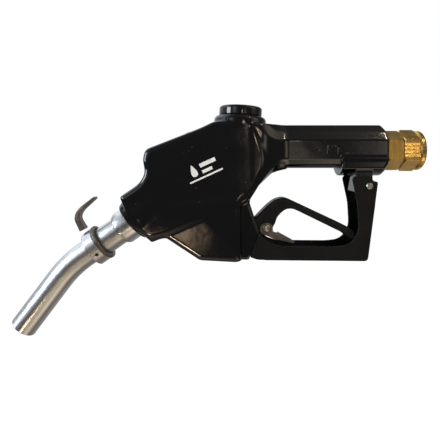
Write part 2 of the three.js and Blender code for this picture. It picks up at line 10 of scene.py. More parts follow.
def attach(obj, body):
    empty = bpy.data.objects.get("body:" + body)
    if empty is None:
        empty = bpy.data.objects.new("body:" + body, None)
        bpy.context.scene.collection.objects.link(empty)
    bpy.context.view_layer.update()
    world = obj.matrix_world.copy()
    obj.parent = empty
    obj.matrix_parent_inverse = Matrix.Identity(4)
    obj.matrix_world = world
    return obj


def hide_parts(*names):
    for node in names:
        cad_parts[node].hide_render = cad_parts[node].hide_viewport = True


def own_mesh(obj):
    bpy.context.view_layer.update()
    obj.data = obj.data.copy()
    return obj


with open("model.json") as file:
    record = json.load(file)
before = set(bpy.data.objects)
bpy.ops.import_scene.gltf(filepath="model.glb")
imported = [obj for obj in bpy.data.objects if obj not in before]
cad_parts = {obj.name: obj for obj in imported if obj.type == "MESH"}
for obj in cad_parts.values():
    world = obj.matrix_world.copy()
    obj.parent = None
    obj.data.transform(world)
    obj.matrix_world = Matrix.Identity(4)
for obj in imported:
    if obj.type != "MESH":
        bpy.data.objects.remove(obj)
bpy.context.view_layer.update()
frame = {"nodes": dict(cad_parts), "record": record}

MM = 0.001
scene = bpy.context.scene

# ---- axes of the part, in millimetres, X and Z ---------------------------
MOUTH = np.array([-338.4, -84.4])
SPOUT = np.array([math.cos(math.radians(35)), math.sin(math.radians(35))])  # inward
STEM_AT = np.array([-211.76, 0.0])
STEM = np.array([math.sin(math.radians(3)), math.cos(math.radians(3))])
LATCH_AT = np.array([-229.0, -112.0])
LATCH = np.array([-0.39, 0.92081])
RIVET = (-180.4, -89.6)
GUARD_SCREW = (-65.1, -40.7)
FRONT_PIN = (-186.6, -115.6)
EAR_NOTCH = (-56.6, -31.2)
INLET_FACE = -42.6
ACROSS = (0, 1, 0)


# ---- materials ------------------------------------------------------------
class Shader:
    """A node material with short calls for the nodes used here."""

    def __init__(self, name, color, rough, metal=0.0, **sockets):
        self.mat = bpy.data.materials.new(name)
        self.mat.use_nodes = True
        self.tree = self.mat.node_tree
        self.bsdf = self.tree.nodes["Principled BSDF"]
        self.set("Base Color", (*color, 1.0))
        self.set("Roughness", rough)
        self.set("Metallic", metal)
        for key, value in sockets.items():
            self.set(key.replace("_", " "), value)
        coords = self.node("ShaderNodeTexCoord")
        self.object = coords.outputs["Object"]

    def set(self, socket, value):
        self.bsdf.inputs[socket].default_value = value

    def node(self, kind, **settings):
        n = self.tree.nodes.new(kind)
        for key, value in settings.items():
            setattr(n, key, value)
        return n

    def link(self, out, to, socket):
        self.tree.links.new(out, to.inputs[socket])

    def scaled(self, x, y, z):
        n = self.node("ShaderNodeMapping")
        n.inputs["Scale"].default_value = (x, y, z)
        self.link(self.object, n, "Vector")
        return n.outputs["Vector"]

    def noise(self, scale, detail=3.0, vector=None, rough=0.55):
        n = self.node("ShaderNodeTexNoise")
        n.inputs["Scale"].default_value = scale
        n.inputs["Detail"].default_value = detail
        n.inputs["Roughness"].default_value = rough
        self.link(vector or self.object, n, "Vector")
        return n.outputs["Fac"]

    def ramp(self, fac, low, high, a=0.0, b=1.0):
        n = self.node("ShaderNodeMapRange")
        n.inputs["From Min"].default_value = low
        n.inputs["From Max"].default_value = high
        n.inputs["To Min"].default_value = a
        n.inputs["To Max"].default_value = b
        self.link(fac, n, "Value")
        return n.outputs["Result"]

    def math(self, kind, a, b):
        n = self.node("ShaderNodeMath", operation=kind)
        for i, value in enumerate((a, b)):
            if isinstance(value, (int, float)):
                n.inputs[i].default_value = value
            else:
                self.tree.links.new(value, n.inputs[i])
        return n.outputs[0]

    def mix(self, fac, a, b):
        n = self.node("ShaderNodeMix", data_type="RGBA")
        self.tree.links.new(fac, n.inputs[0])
        for i, value in ((6, a), (7, b)):
            if isinstance(value, tuple):
                n.inputs[i].default_value = (*value, 1.0)
            else:
                self.tree.links.new(value, n.inputs[i])
        return n.outputs[2]

    def color(self, out):
        self.link(out, self.bsdf, "Base Color")

    def rough(self, out):
        self.link(out, self.bsdf, "Roughness")

    def bump(self, height, strength, distance):
        n = self.node("ShaderNodeBump")
        n.inputs["Strength"].default_value = strength
        n.inputs["Distance"].default_value = distance
        self.link(height, n, "Height")
        if self.bsdf.inputs["Normal"].is_linked:
            self.tree.links.new(self.bsdf.inputs["Normal"].links[0].from_socket, n.inputs["Normal"])
        self.link(n.outputs["Normal"], self.bsdf, "Normal")


def gloss_black():
    m = Shader("gloss_black", (0.0045, 0.0045, 0.005), 0.08, Specular_IOR_Level=0.9)
    cloud = m.noise(28, 3)
    grime = m.noise(9, 5, rough=0.7)
    worn = m.ramp(grime, 0.55, 0.8, 0.0, 0.09)
    m.rough(m.math("ADD", m.ramp(cloud, 0.35, 0.7, 0.05, 0.11), worn))
    dust = m.node("ShaderNodeTexVoronoi", feature="F1")
    dust.inputs["Scale"].default_value = 210
    m.link(m.object, dust, "Vector")
    speck = m.ramp(dust.outputs["Distance"], 0.16, 0.05)
    keep = m.ramp(m.noise(120, 1), 0.62, 0.7)
    fleck = m.math("MULTIPLY", speck, keep)
    m.color(m.mix(fleck, (0.0045, 0.0045, 0.005), (0.1, 0.1, 0.1)))
    m.bump(m.noise(260, 2), 0.06, 0.0003)
    m.bump(m.noise(42, 2), 0.14, 0.0012)
    return m.mat


def grained_black(name, level, rough, grain):
    m = Shader(name, (level, level, level * 1.03), rough, Specular_IOR_Level=0.3)
    fine = m.noise(grain, 2)
    m.color(m.mix(m.ramp(m.noise(40, 4), 0.35, 0.75), (level * 0.8,) * 3,
                  (level * 1.25, level * 1.22, level * 1.2)))
    m.rough(m.ramp(fine, 0.3, 0.7, rough - 0.08, rough + 0.1))
    m.bump(fine, 0.35, 0.0004)
    return m.mat


def spout_metal():
    m = Shader("spout_aluminium", (0.7, 0.7, 0.71), 0.26, 1.0)
    m.rough(m.ramp(m.noise(40, 3), 0.3, 0.75, 0.29, 0.35))
    m.color(m.mix(m.ramp(m.noise(30, 5), 0.45, 0.8), (0.8, 0.8, 0.805), (0.66, 0.65, 0.63)))
    return m.mat


def satin_steel():
    m = Shader("satin_steel", (0.6, 0.59, 0.57), 0.32, 1.0)
    m.rough(m.ramp(m.noise(90, 4), 0.3, 0.75, 0.22, 0.42))
    m.color(m.mix(m.ramp(m.noise(45, 5), 0.4, 0.75), (0.66, 0.65, 0.63), (0.42, 0.4, 0.37)))
    m.bump(m.noise(700, 2), 0.08, 0.0002)
    return m.mat


def bright_wire():
    m = Shader("spring_wire", (0.5, 0.5, 0.52), 0.25, 1.0)
    m.rough(m.ramp(m.noise(200, 2), 0.3, 0.7, 0.2, 0.35))
    return m.mat


def zinc_plate():
    m = Shader("zinc_plate", (0.8, 0.78, 0.72), 0.3, 1.0)
    m.color(m.mix(m.ramp(m.noise(150, 3), 0.4, 0.7), (0.83, 0.81, 0.76), (0.62, 0.58, 0.5)))
    m.rough(m.ramp(m.noise(300, 2), 0.3, 0.7, 0.22, 0.4))
    return m.mat


def pewter():
    m = Shader("pewter_plate", (0.24, 0.2, 0.16), 0.34, 0.75)
    m.color(m.mix(m.ramp(m.noise(110, 4), 0.38, 0.7), (0.24, 0.205, 0.165), (0.14, 0.12, 0.1)))
    m.rough(m.ramp(m.noise(260, 3), 0.3, 0.7, 0.32, 0.52))
    m.bump(m.noise(500, 2), 0.12, 0.0002)
    return m.mat


def machined_brass():
    m = Shader("machined_brass", (0.78, 0.5, 0.15), 0.26, 1.0)
    tarnish = m.ramp(m.noise(55, 4, rough=0.6), 0.42, 0.75)
    m.color(m.mix(tarnish, (0.95, 0.6, 0.18), (0.66, 0.36, 0.09)))
    tool = m.noise(8, 2, m.scaled(40.0, 1.0, 1.0))
    m.rough(m.ramp(tool, 0.3, 0.7, 0.26, 0.32))
    return m.mat


def seal_rubber():
    m = Shader("seal_rubber", (0.02, 0.02, 0.02), 0.75)
    m.bump(m.noise(600, 2), 0.2, 0.0002)
    m.rough(m.ramp(m.noise(80, 2), 0.3, 0.7, 0.65, 0.85))
    return m.mat


def white_acetal():
    m = Shader("white_acetal", (0.8, 0.8, 0.78), 0.4)
    m.rough(m.ramp(m.noise(120, 2), 0.3, 0.7, 0.35, 0.5))
    return m.mat


def print_white():
    m = Shader("print_white", (0.82, 0.82, 0.8), 0.42)
    m.color(m.mix(m.ramp(m.noise(260, 4), 0.35, 0.6), (0.7, 0.7, 0.68), (0.86, 0.86, 0.84)))
    return m.mat


MAT = {
    "gloss": gloss_black(),
    "guard": grained_black("grained_guard", 0.007, 0.56, 420),
    "lever": grained_black("lever_coating", 0.009, 0.42, 300),
    "spout": spout_metal(),
    "steel": satin_steel(),
    "wire": bright_wire(),
    "zinc": zinc_plate(),
    "pewter": pewter(),
    "brass": machined_brass(),
    "rubber": seal_rubber(),
    "acetal": white_acetal(),
    "print": print_white(),
}
SLOT_MAT = {
    "gloss_black_casting": "gloss", "matte_black_guard": "guard", "matte_black_metal": "lever",
    "satin_aluminium": "spout", "steel": "steel", "spring_steel": "wire", "zinc_steel": "zinc",
    "plated_clip_steel": "pewter", "brass": "brass", "seal_rubber": "rubber",
    "white_plastic": "acetal",
}
node_slot = {s["node"]: s["material_slot"] for s in frame["record"]["subparts"]}
for node, obj in frame["nodes"].items():
    obj.data.materials.clear()
    obj.data.materials.append(MAT[SLOT_MAT[node_slot[node]]])


# ---- making pieces --------------------------------------------------------
def piece(name, mesh, mat, body, replaces=(), smooth=40):
    """Adds a mesh given in millimetres to the scene and ties it to its body."""
    mesh.transform(Matrix.Scale(MM, 4))
    obj = bpy.data.objects.new(name, mesh)
    scene.collection.objects.link(obj)
    mesh.materials.append(MAT[mat])
    mesh.polygons.foreach_set("use_smooth", [True] * len(mesh.polygons))
    if smooth:
        mesh.set_sharp_from_angle(angle=math.radians(smooth))
    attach(obj, body)
    if replaces:
        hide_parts(*replaces)
    return obj


def mesh_from(bm, name):
    bmesh.ops.recalc_face_normals(bm, faces=bm.faces)
    mesh = bpy.data.meshes.new(name)
    bm.to_mesh(mesh)
    bm.free()
    return mesh


def rounded(points, steps=6):
    """A closed outline. A point is (x, z) or (x, z, r): r is how far the corner's curve reaches."""
    out = []
    n = len(points)
    for i, p in enumerate(points):
        here = np.array(p[:2], float)
        if len(p) < 3 or not p[2]:
            out.append(here)
            continue
        a = np.array(points[i - 1][:2], float) - here
        b = np.array(points[(i + 1) % n][:2], float) - here
        a = here + a / np.linalg.norm(a) * p[2]
        b = here + b / np.linalg.norm(b) * p[2]
        for k in range(steps + 1):
            t = k / steps
            out.append((1 - t) ** 2 * a + 2 * t * (1 - t) * here + t * t * b)
    return np.array(out)


def slab_mesh(name, points, y0, y1, edge=0.0, segments=3):
    """An X-Z outline extruded along Y, with its rims rounded."""
    bm = bmesh.new()
    loop = [bm.verts.new((x, y0, z)) for x, z in points]
    face = bm.faces.new(loop)
    made = bmesh.ops.extrude_face_region(bm, geom=[face])
    moved = [g for g in made["geom"] if isinstance(g, bmesh.types.BMVert)]
    bmesh.ops.translate(bm, vec=(0, y1 - y0, 0), verts=moved)
    bmesh.ops.recalc_face_normals(bm, faces=bm.faces)
    if edge:
        rims = [e for e in bm.edges if abs(e.verts[0].co.y - e.verts[1].co.y) < 1e-6]
        bmesh.ops.bevel(bm, geom=rims, offset=edge, segments=segments, profile=0.5,
                        affect="EDGES", clamp_overlap=True)
    return mesh_from(bm, name)


def lathe_mesh(name, profile, at, axis, segments=96):
    """A closed (radius, height) profile turned about an axis in the X-Z plane or any direction."""
    axis = Vector(axis).normalized()
    turn = Vector((0, 0, 1)).rotation_difference(axis).to_matrix()
    at = Vector(at)
    bm = bmesh.new()
    rings = []
    for r, h in profile:
        if r < 1e-6:
            rings.append([bm.verts.new(at + turn @ Vector((0, 0, h)))])
            continue
        ring = []
        for k in range(segments):
            a = 2 * math.pi * k / segments
            ring.append(bm.verts.new(at + turn @ Vector((r * math.cos(a), r * math.sin(a), h))))
        rings.append(ring)
    for i, low in enumerate(rings):
        high = rings[(i + 1) % len(rings)]
        if len(low) == 1 and len(high) == 1:
            continue
        for k in range(segments):
            k2 = (k + 1) % segments
            quad = [low[k % len(low)], low[k2 % len(low)],
                    high[k2 % len(high)], high[k % len(high)]]
            unique = list(dict.fromkeys(quad))
            if len(unique) > 2:
                bm.faces.new(unique)
    return mesh_from(bm, name)


def soften(profile, default=0.4, steps=4, keep=()):
    """Rounds every corner of a profile that isn't on the axis."""
    pts = []
    n = len(profile)
    for i, p in enumerate(profile):
        r = p[2] if len(p) > 2 else default
        if p[0] < 1e-6 or i in keep:
            r = 0
        a = np.linalg.norm(np.subtract(profile[i - 1][:2], p[:2]))
        b = np.linalg.norm(np.subtract(profile[(i + 1) % n][:2], p[:2]))
        r = min(r, 0.45 * a, 0.45 * b)
        pts.append((p[0], p[1], r))
    return [tuple(p) for p in rounded(pts, steps)]


def at3(p):
    return (p[0], 0.0, p[1])


# ---- the body casting as a distance field ---------------------------------
def sd_poly(px, pz, pts):
    """Signed distance to a closed polygon in the X-Z plane."""
    best, sign = None, 1.0
    for i in range(len(pts)):
        a, b = pts[i], pts[i - 1]
        ex, ez = b - a
        wx, wz = px - a[0], pz - a[1]
        t = np.clip((wx * ex + wz * ez) / (ex * ex + ez * ez), 0, 1)
        dx, dz = wx - ex * t, wz - ez * t
        dd = dx * dx + dz * dz
        best = dd if best is None else np.minimum(best, dd)
        c1, c2, c3 = pz >= a[1], pz < b[1], ex * wz > ez * wx
        sign = np.where((c1 & c2 & c3) | (~c1 & ~c2 & ~c3), -sign, sign)
    return sign * np.sqrt(best)


def smin(a, b, k):
    h = np.clip(0.5 + 0.5 * (b - a) / k, 0, 1)
    return b * (1 - h) + a * h - k * h * (1 - h)


def smax(a, b, k):
    return -smin(-a, -b, k)


def crossed(d, e, r):
    """Two distances crossed, with a rounded edge of radius r where they meet."""
    outside = np.sqrt(np.maximum(d, 0) ** 2 + np.maximum(e, 0) ** 2)
    return outside + np.minimum(np.maximum(d, e), 0) - r


def extruded(d, y, half, r):
    """A plane distance d given a half width and an edge radius."""
    return crossed(d + r, np.abs(y) - half + r, r)


def reach(x, z, at):
    """Distance from an axis across the part."""
    return np.sqrt((x - at[0]) ** 2 + (z - at[1]) ** 2)


def polar(x, y, z, at, axis):
    """Height along an axis in the X-Z plane and distance from it."""
    h = (x - at[0]) * axis[0] + (z - at[1]) * axis[1]
    side = (x - at[0]) * -axis[1] + (z - at[1]) * axis[0]
    return h, np.sqrt(side ** 2 + y ** 2)


def drum(h, rad, low, high, r, edge=0.0):
    """A cylinder between two heights."""
    return crossed(rad - r + edge, np.abs(h - (low + high) / 2) - (high - low) / 2 + edge, edge)


BARREL = rounded([(-198, 33.4), (-206.4, 38.6, 3), (-217, 33.6, 4), (-240, 32, 5),
                  (-254.6, 24.7, 8), (-317.2, 0.4, 5),
                  (-319.8, -11, 4), (-317, -26, 6), (-324, -38, 6), (-346, -53, 3),
                  (-332, -88, 4), (-312, -100, 6), (-296, -96.5, 6), (-203, -58.5, 4),
                  (-192, -41.7, 6), (-180, -12, 12), (-188, 14, 14)], 5)
SKIRT_FRONT = rounded([(-322, -78), (-316.5, -99.5, 2), (-310.6, -105, 2), (-301, -101, 3),
                       (-294, -99.8, 2), (-255.8, -124.6, 3), (-215, -126.2, 2),
                       (-209, -124.4, 2), (-209, -50), (-300, -60)], 4)
SKIRT_REAR = rounded([(-225, -50), (-225, -124.8), (-200.4, -124.8, 1.5), (-187.8, -95.8, 2),
                      (-192.9, -80, 4), (-200.6, -56.5, 6), (-192, -43), (-200, -30)], 4)
SKIRT_EAR = rounded([(-206, -121), (-183, -121, 1), (-183, -111, 1), (-190.5, -105),
                     (-206, -100)], 3)
UNDERSIDE = rounded([(-205, -16), (-200.6, -57, 9), (-191, -41.7, 5), (-184, -34.7, 4),
                     (-174.7, -25.6, 8), (-158, -21.3), (-158, -12)], 4)
SLOT = np.array([(-174, -26), (-181, -34), (-199.5, -42), (-203.8, -50), (-203.8, -62),
                 (-209, -72), (-213, -84), (-243, -96), (-248, -112), (-248, -150), (-160, -150),
                 (-160, -26)], float)
CROSSING = np.array([(-214, -24), (-238, -25.5), (-250, -16), (-264, -11.5), (-288, -22),
                     (-306, -33), (-303.5, -43.5), (-285.5, -70), (-262, -67), (-248, -62),
                     (-236, -55), (-230, -40), (-214, -38)], float)
PASSAGE = np.array([(0, 25.2), (7.5, 24.6), (12.4, 17.8), (15.6, 10), (15.6, -8.5), (13, -13.2),
                    (8, -16), (0, -16.3)], float)
PASSAGE = np.vstack([PASSAGE, PASSAGE[1:-1][::-1] * (-1, 1)])
HANDLE = np.array([(0, 30.2), (10, 29.2), (16.4, 20.6), (20.5, 11.4), (20.5, -10.2),
                   (17.2, -16.4), (10.5, -20.6), (0, -21.5)], float)
HANDLE = np.vstack([HANDLE, HANDLE[1:-1][::-1] * (-1, 1)])


def ease(x, start, end):
    t = np.clip((x - start) / (end - start), 0, 1)
    return t * t * (3 - 2 * t)


def shoulder(x, y, z):
    """The handle, whose side panel widens and spreads up and down as it meets the barrel."""
    flare = 8.8 * ease(x, -155, -188) - 8 * ease(x, -194, -214)
    rise = 28 * ease(x, -158, -214) ** 1.6
    fall = 24 * ease(x, -156, -206) ** 1.8
    level = z / np.where(z > 0, 1 + rise / 11.4, 1 + fall / 10.2)
    f = sd_poly(y - np.minimum(flare, y), level, HANDLE)
    under = np.interp(-x, [158, 166, 174.7, 184, 191, 200], [21.5, 22.6, 25.6, 34.7, 41.7, 57])
    f = smax(f, -z - under, 3)
    return np.maximum(smax(f, z - 29.6, 2), -214 - x)


def body_field(x, y, z):
    """The outside of the casting."""
    y = np.abs(y)
    wide = 31 - 1.6 * ((x + 245) / 80) ** 2 - 1.4 * ((z + 25) / 60) ** 2
    f = extruded(sd_poly(x, z, BARREL), y, wide, 6)
    h, rad = polar(x, y, z, MOUTH, SPOUT)
    up = (x - MOUTH[0]) * -SPOUT[1] + (z - MOUTH[1]) * SPOUT[0]
    neck = np.maximum(rad - np.minimum(23 + 0.44 * h, 29.4), h - 48)
    f = smax(smin(f, neck, 3), 0.2 + (22 - up) * 0.1 - h, 0.8)
    f = smin(f, shoulder(x, y, z), 3)
    h, rad = polar(x, y, z, STEM_AT, STEM)
    f = smin(f, drum(h, rad, 24, 39.9, 30.4, 5.6), 2)
    f = smin(f, extruded(sd_poly(x, z, UNDERSIDE), y, 17, 5), 5)
    rad = np.sqrt(y ** 2 + z ** 2)
    boss = np.maximum(np.maximum(rad - 29.4, y - 20.7), np.maximum(-95 - x, z + 8))
    f = smin(f, boss, 2)
    f = smax(f, y - 31.0, 4)
    cone = rad - 24.6 - np.clip(INLET_FACE - x, 0, 40) * 0.95
    f = smax(f, np.where(x > -75, cone, -50), 1.5)
    f = smax(f, x - INLET_FACE, 1.0)
    front = extruded(sd_poly(x, z, SKIRT_FRONT), y,
                     np.clip(25.6 + (x + 300) * 0.07 + (z + 90) * 0.07, 22, 30), 6.4)
    rear = extruded(sd_poly(x, z, SKIRT_REAR), y, 18.5, 2.5)
    ear = extruded(sd_poly(x, z, SKIRT_EAR), y, 18.5, 0.5)
    f = smin(f, smin(front, np.minimum(rear, ear), 1.5), 4)
    f = smax(f, y - 31.4, 2)
    lug = np.maximum(np.maximum(np.abs(x + 69.8) - 9.6, y - 18.9), np.maximum(z + 20, -48 - z))
    return smin(f, lug, 1.5)


def body_hollow(x, y, z):
    """What is cut out of it: positive in the cuts."""
    y = np.abs(y)
    rad = np.sqrt(y ** 2 + z ** 2)
    g = np.maximum(rad - 17, np.maximum(-64 - x, x + 30))
    g = np.minimum(g, np.maximum(rad - 15, np.maximum(-72 - x, x + 60)))
    g = np.minimum(g, np.maximum(sd_poly(y, z, PASSAGE), np.maximum(-205 - x, x + 70)))
    h, rad = polar(x, y, z, STEM_AT, STEM)
    g = np.minimum(g, drum(h, rad, -19.3, 60, 18.5))
    g = np.minimum(g, drum(h, rad, -38, -15, 12.8))
    g = np.minimum(g, drum(h, rad, -56, -34, 6.4))
    g = np.minimum(g, drum(h, rad, -110, -50, 3.7))
    g = np.minimum(g, extruded(sd_poly(x, z, CROSSING), y, 24.5, 0.5))
    h, rad = polar(x, y, z, MOUTH, SPOUT)
    g = np.minimum(g, drum(h, rad, -10, 4, 20.3))
    g = np.minimum(g, drum(h, rad, -5, 25.4, 18.3))
    g = np.minimum(g, drum(h, rad, 20, 58, 15))
    h, rad = polar(x, y, z, LATCH_AT, LATCH)
    g = np.maximum(g, -drum(h, rad, 50, 112, 11.5))
    g = np.minimum(g, drum(h, rad, 0, 60, 5.4))
    g = np.minimum(g, drum(h, rad, 40, 120, 7.8))
    g = np.minimum(g, drum(h, rad, 118, 130, 15))
    g = np.minimum(g, drum(h, rad, 126, 160, 21.9))
    g = np.minimum(g, extruded(sd_poly(x, z, SLOT), y, 15, 0.5))
    g = np.minimum(g, reach(x, z, FRONT_PIN) - 2.3)
    g = np.minimum(g, reach(x, z, GUARD_SCREW) - 2.8)
    return -g


def body(x, y, z):
    return smax(body_field(x, y, z), body_hollow(x, y, z), 0.8)


def net(field, lo, hi, step):
    """Closed quad surface of field = 0: one vertex per crossed cell, moved on to the surface."""
    axes = [np.arange(lo[i], hi[i] + step, step) for i in range(3)]
    n = [len(a) for a in axes]
    x, y, z = axes[0][:, None, None], axes[1][None, :, None], axes[2][None, None, :]
    value = np.broadcast_to(field(x, y, z), n).astype(np.float32)
    inside = value < 0
    total = np.zeros([k - 1 for k in n] + [3], np.float32)
    count = np.zeros([k - 1 for k in n], np.int32)
    corner = lambda v, i, j, k: v[i:n[0] - 1 + i, j:n[1] - 1 + j, k:n[2] - 1 + k]
    corners = [(i, j, k) for i in (0, 1) for j in (0, 1) for k in (0, 1)]
    for a in corners:
        for axis in range(3):
            if a[axis]:
                continue
            b = list(a)
            b[axis] = 1
            va, vb = corner(value, *a), corner(value, *b)
            hit = (va < 0) != (vb < 0)
            t = np.where(hit, va / np.where(hit, va - vb, 1), 0)
            for k in range(3):
                total[..., k] += np.where(hit, a[k] + (t if k == axis else 0), 0)
            count += hit
    cells = np.argwhere(count > 0)
    ids = -np.ones(count.shape, np.int64)
    ids[tuple(cells.T)] = np.arange(len(cells))
    points = (cells + total[tuple(cells.T)] / count[tuple(cells.T)][:, None]) * step
    points = points + [a[0] for a in axes]
    quads = []
    for axis in range(3):
        u, v = [k for k in range(3) if k != axis]
        one = [slice(None)] * 3
        two = [slice(None)] * 3
        one[axis], two[axis] = slice(0, n[axis] - 1), slice(1, n[axis])
        flips = inside[tuple(one)] != inside[tuple(two)]
        edges = np.argwhere(flips)
        edges = edges[(edges[:, u] > 0) & (edges[:, v] > 0)
                      & (edges[:, u] < n[u] - 1) & (edges[:, v] < n[v] - 1)]
        around = []
        for du, dv in ((0, 0), (1, 0), (1, 1), (0, 1)):
            c = edges.copy()
            c[:, u] -= du
            c[:, v] -= dv
            around.append(ids[tuple(c.T)])
        quad = np.stack(around, 1)
        out = inside[tuple(one)][tuple(edges.T)]
        if axis == 1:
            out = ~out
        quad[~out] = quad[~out][:, ::-1]
        quads.append(quad)
    quads = np.vstack(quads)
    eps = 0.05
    for _ in range(4):
        px, py, pz = points.T
        f = field(px, py, pz)
        g = np.stack([field(px + eps, py, pz) - field(px - eps, py, pz),
                      field(px, py + eps, pz) - field(px, py - eps, pz),
                      field(px, py, pz + eps) - field(px, py, pz - eps)], 1) / (2 * eps)
        move = g * (f / np.maximum((g ** 2).sum(1), 0.25))[:, None]
        reach = np.linalg.norm(move, axis=1, keepdims=True)
        points = points - move * np.minimum(1, step * 0.5 / np.maximum(reach, 1e-9))
    return points, quads


def field_piece(name, field, lo, hi, step, mat, body_name, replaces):
    points, quads = net(field, lo, hi, step)
    mesh = bpy.data.meshes.new(name)
    mesh.from_pydata(points.tolist(), [], quads.tolist())
    mesh.update()
    return piece(name, mesh, mat, body_name, replaces, smooth=0)


def cell(full):
    return full


field_piece("casting", body, (-356, -37, -131.5), (-36, 37, 48), cell(1.3),
            "gloss", "casing", ["body_casting"])


# ---- cap ------------------------------------------------------------------
cap = lathe_mesh("cap", soften([(0, 46.2), (12, 46.2), (12, 33.5), (18.1, 33.5), (18.1, 36.4),
                                (16.5, 36.4), (16.5, 38.9), (18.1, 38.9), (18.1, 40.1),
                                (24.4, 40.1, 0.5), (25, 41, 0.6), (25, 51.2, 3.6), (0, 51.2)],
                               0.2, 8), at3(STEM_AT), at3(STEM), 112)
piece("round_cap", cap, "gloss", "casing", ["poppet_cap"])


# ---- spout ----------------------------------------------------------------
def spout_line(start):
    """Points and directions along the bent spout, out from the mouth."""
    bend, radius = math.radians(18), 135.0
    before = 86 - radius * math.tan(bend / 2)
    after = 92 - radius * math.tan(bend / 2)
    out = -SPOUT
    sink = np.array([-out[1], out[0]])
    rows = []
    marks = [start, before] + [before + radius * bend * k / 24 for k in range(1, 25)]
    marks.append(before + radius * bend + after)
    for m in marks:
        turn = min(max(m - before, 0), radius * bend) / radius
        p = MOUTH + out * min(m, before)
        p = p + out * radius * math.sin(turn) + sink * radius * (1 - math.cos(turn))
        d = out * math.cos(turn) + sink * math.sin(turn)
        p = p + d * max(m - before - radius * bend, 0)
        rows.append((p, d))
    return rows


def tube_mesh(name, outer, inner, start, segments=72, lip=0.4):
    rows = spout_line(start)
    p, d = rows[-1]
    rows.insert(-1, (p - d * lip, d))
    bm = bmesh.new()

    def ring(p, d, r):
        across = Vector((0, 1, 0))
        up = Vector((-d[1], 0, d[0]))
        c = Vector((p[0], 0, p[1]))
        return [bm.verts.new(c + across * r * math.cos(2 * math.pi * k / segments)
                             + up * r * math.sin(2 * math.pi * k / segments))
                for k in range(segments)]

    outs = [ring(p, d, outer) for p, d in rows[:-1]] + [ring(*rows[-1], outer - lip)]
    ins = [ring(p, d, inner) for p, d in rows[:-1]] + [ring(*rows[-1], inner + lip * 0.4)]
    loops = outs + ins[::-1]
    for i, low in enumerate(loops):
        high = loops[(i + 1) % len(loops)]
        for k in range(segments):
            bm.faces.new((low[k], low[(k + 1) % segments], high[(k + 1) % segments], high[k]))
    return mesh_from(bm, name)


piece("bent_spout", tube_mesh("bent_spout", 15.1, 13.3, 40), "spout", "casing")
sleeve = lathe_mesh("spout_root", soften([(13.3, -41), (15.1, -41), (15.1, -42.6), (16.4, -42.6),
                                          (16.4, 22), (13.3, 22)], 0.3), at3(MOUTH), at3(SPOUT))
piece("spout_root", sleeve, "spout", "casing", ["spout_tube"])
collar = lathe_mesh("collar", soften([(16.6, -15), (17.6, -15, 0.4), (18.4, -14.2, 0.6),
                                      (18.6, -12.6, 0.4), (19.6, -12.2, 0.8), (20, -10.6, 1.0),
                                      (20, 3.7), (18, 3.7), (18, 15), (17.1, 15),
                                      (17.1, 17.4), (18, 17.4), (18, 25.1), (12.6, 25.1),
                                      (12.6, 22.3), (16.6, 22.3)], 0.25), at3(MOUTH), at3(SPOUT))
piece("spout_nut", collar, "spout", "casing", ["spout_collar"])

# ---- hook -----------------------------------------------------------------
def clamp_field(x, y, z):
    h, rad = polar(x, y, z, MOUTH, SPOUT)
    f = drum(h, rad, -55, -41.6, 20.9, 1.0)
    f = np.minimum(f, drum(h, rad, -42.4, -38, 19.4, 0.3))
    f = np.maximum(f, np.where(h < -46.4, 15.35, 16.65) - rad)
    f = np.maximum(f, -drum(h, rad, -43, -30, 18.3))
    tilt = math.radians(24)
    side = (x - MOUTH[0]) * -SPOUT[1] + (z - MOUTH[1]) * SPOUT[0]
    along = -y * math.cos(tilt) - side * math.sin(tilt)
    off = np.sqrt((h + 48) ** 2 + (side * math.cos(tilt) - y * math.sin(tilt)) ** 2)
    hole = np.maximum(off - 1.9, 13 - along)
    return smax(f, -hole, 0.4)


field_piece("clamp_ring", clamp_field, (-400, -23, -141), (-351, 23, -83), cell(0.65),
            "spout", "casing", ["hook_ring"])
band = lathe_mesh("clamp_band", soften([(18.5, -41.4), (20.6, -42), (21.7, -41.2, 0.8),
                                        (21.7, -38.6, 0.8), (20.9, -37.8, 0.6), (18.5, -37.8)],
                                       0.3), at3(MOUTH), at3(SPOUT))
piece("clamp_band", band, "pewter", "casing")
hook = slab_mesh("hook_band", rounded([(-380.2, -53.8, 1.2), (-397, -66.7, 5), (-401.6, -73, 3),
                                       (-402.8, -80.8, 3), (-396.4, -94.5), (-390.4, -91.2),
                                       (-397.4, -79.8, 3), (-396.8, -75, 2.5), (-393.6, -70, 3),
                                       (-378.8, -56.4, 1.2)], 7), -6, 6, 0.9, 3)
piece("hook_band", hook, "pewter", "casing", ["hook_strap"])

# ---- lever ----------------------------------------------------------------
LEVER = [(-236, -119, 5), (-240, -108, 4), (-235, -100.6, 3), (-206, -100.6), (-201, -91),
         (-193.6, -79.2), (-187, -71.9), (-178, -63), (-169.5, -56.6, 4), (-160.5, -54.3, 3),
         (-153.8, -56.2, 2.5), (-88.6, -86.8, 3),
         (-80, -92.6, 3), (-75.6, -98.6, 3), (-80.6, -105, 3.6), (-90.4, -96, 3),
         (-112, -85.4), (-144.6, -69.5, 2), (-150, -67.5, 2), (-157, -67.8, 3),
         (-163, -72.4, 3), (-167.6, -77.6, 3), (-169.3, -84, 3), (-176, -95, 3),
         (-196, -107, 3), (-222, -121.5, 4)]
LEVER_LINE = rounded(LEVER, 4)


def lever_field(x, y, z):
    d = sd_poly(x, z, LEVER_LINE)
    f = extruded(d, y, 10.7, 2.2)
    panel = np.maximum(d + 2.6, 9.9 - np.abs(y))
    f = smax(f, -panel, 0.7)
    f = np.maximum(f, -np.maximum(x + 221.6, np.abs(y) - 5.1))
    f = np.maximum(f, 3.3 - reach(x, z, LATCH_AT))
    return np.maximum(f, 3.3 - reach(x, z, RIVET))


field_piece("trigger_lever", lever_field, (-242, -12.5, -124), (-73, 12.5, -52),
            cell(0.9), "lever", "trigger", ["lever"])


